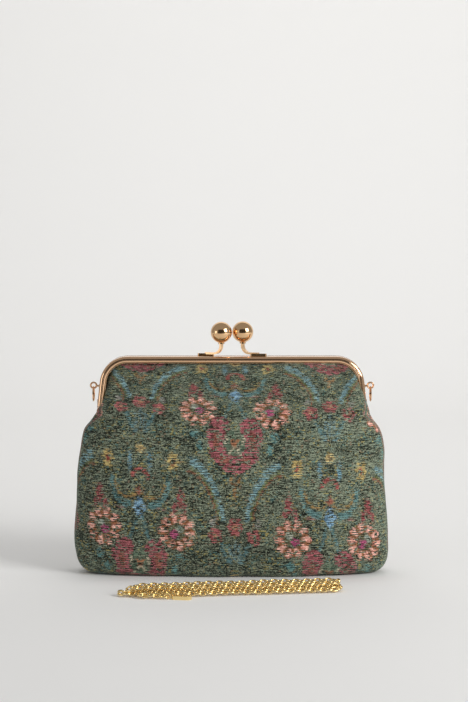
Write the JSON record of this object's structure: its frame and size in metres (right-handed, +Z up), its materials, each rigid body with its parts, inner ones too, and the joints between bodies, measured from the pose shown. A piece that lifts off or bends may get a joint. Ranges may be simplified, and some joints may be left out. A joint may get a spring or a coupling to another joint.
{
  "type": "clutch bag",
  "caption": "Soft floral tapestry clutch on a hinged arched metal frame with a crossed-ball snap clasp, side rings and a detachable curb-chain strap.",
  "frame": {"origin": "centre of the bag's base, on the surface that it stands on", "axes": "+X along the bag's width, to the right as seen from the front; -Y towards the front; +Z up"},
  "size_m": [0.24, 0.1441, 0.1919],
  "materials": {
    "tapestry": "slubby chenille tapestry weave with a floral pattern",
    "lining_cloth": "plain satin lining",
    "frame_metal": "polished pale rose-gold plate",
    "clasp_metal": "bright pale rose-gold plate",
    "paper_cord": "twisted paper",
    "chain_metal": "polished yellow-gold plate"
  },
  "bodies": {
    "pouch": {"front_panel": "tapestry", "back_panel": "tapestry", "front_lining": "lining_cloth", "back_lining": "lining_cloth", "chain_strap": "chain_metal", "near_clasp_body": "chain_metal", "far_clasp_body": "chain_metal", "clasp_pins": "chain_metal", "end_links": "chain_metal"},
    "front_half": {"front_frame": "frame_metal", "front_edge_cord": "paper_cord", "front_ball_arm": "clasp_metal", "front_ball": "clasp_metal", "hinge_rivets": "frame_metal"},
    "back_half": {"back_frame": "frame_metal", "back_edge_cord": "paper_cord", "back_ball_arm": "clasp_metal", "back_ball": "clasp_metal", "eyelets": "frame_metal"},
    "left_hanging_ring": {"left_ring": "frame_metal"},
    "right_hanging_ring": {"right_ring": "frame_metal"},
    "near_gate": {"near_clasp_gate": "chain_metal"},
    "far_gate": {"far_clasp_gate": "chain_metal"}
  },
  "joints": [
    {"name": "front_opening", "type": "hinge", "parent": "pouch", "child": "front_half", "pos_m": [0, 0, 0.123], "axis": [1, 0, 0], "range_deg": [0, 45], "deforming": ["front_panel", "front_lining"]},
    {"name": "back_opening", "type": "hinge", "parent": "pouch", "child": "back_half", "pos_m": [0, 0, 0.123], "axis": [1, 0, 0], "range_deg": [-45, 0], "deforming": ["back_panel", "back_lining"]},
    {"name": "left_ring_swing", "type": "hinge", "parent": "back_half", "child": "left_hanging_ring", "pos_m": [-0.10589, 0.0035, 0.14219], "axis": [0, 1, 0], "range_deg": [-8, 90]},
    {"name": "right_ring_swing", "type": "hinge", "parent": "back_half", "child": "right_hanging_ring", "pos_m": [0.10589, 0.0035, 0.14219], "axis": [0, 1, 0], "range_deg": [-90, 8]},
    {"name": "near_gate_press", "type": "hinge", "parent": "pouch", "child": "near_gate", "pos_m": [-0.0386, -0.10475, 0.0013], "axis": [0, 0, 1], "range_deg": [-20, 0], "stiffness_Nm_per_rad": 0.001, "springref_deg": 28.65},
    {"name": "far_gate_press", "type": "hinge", "parent": "pouch", "child": "far_gate", "pos_m": [0.03469, -0.066, 0.0013], "axis": [0, 0, 1], "range_deg": [-20, 0], "stiffness_Nm_per_rad": 0.001, "springref_deg": 28.65}
  ],
  "couplings": [
    {"joint": "back_opening", "follows": "front_opening", "ratio": -1}
  ]
}
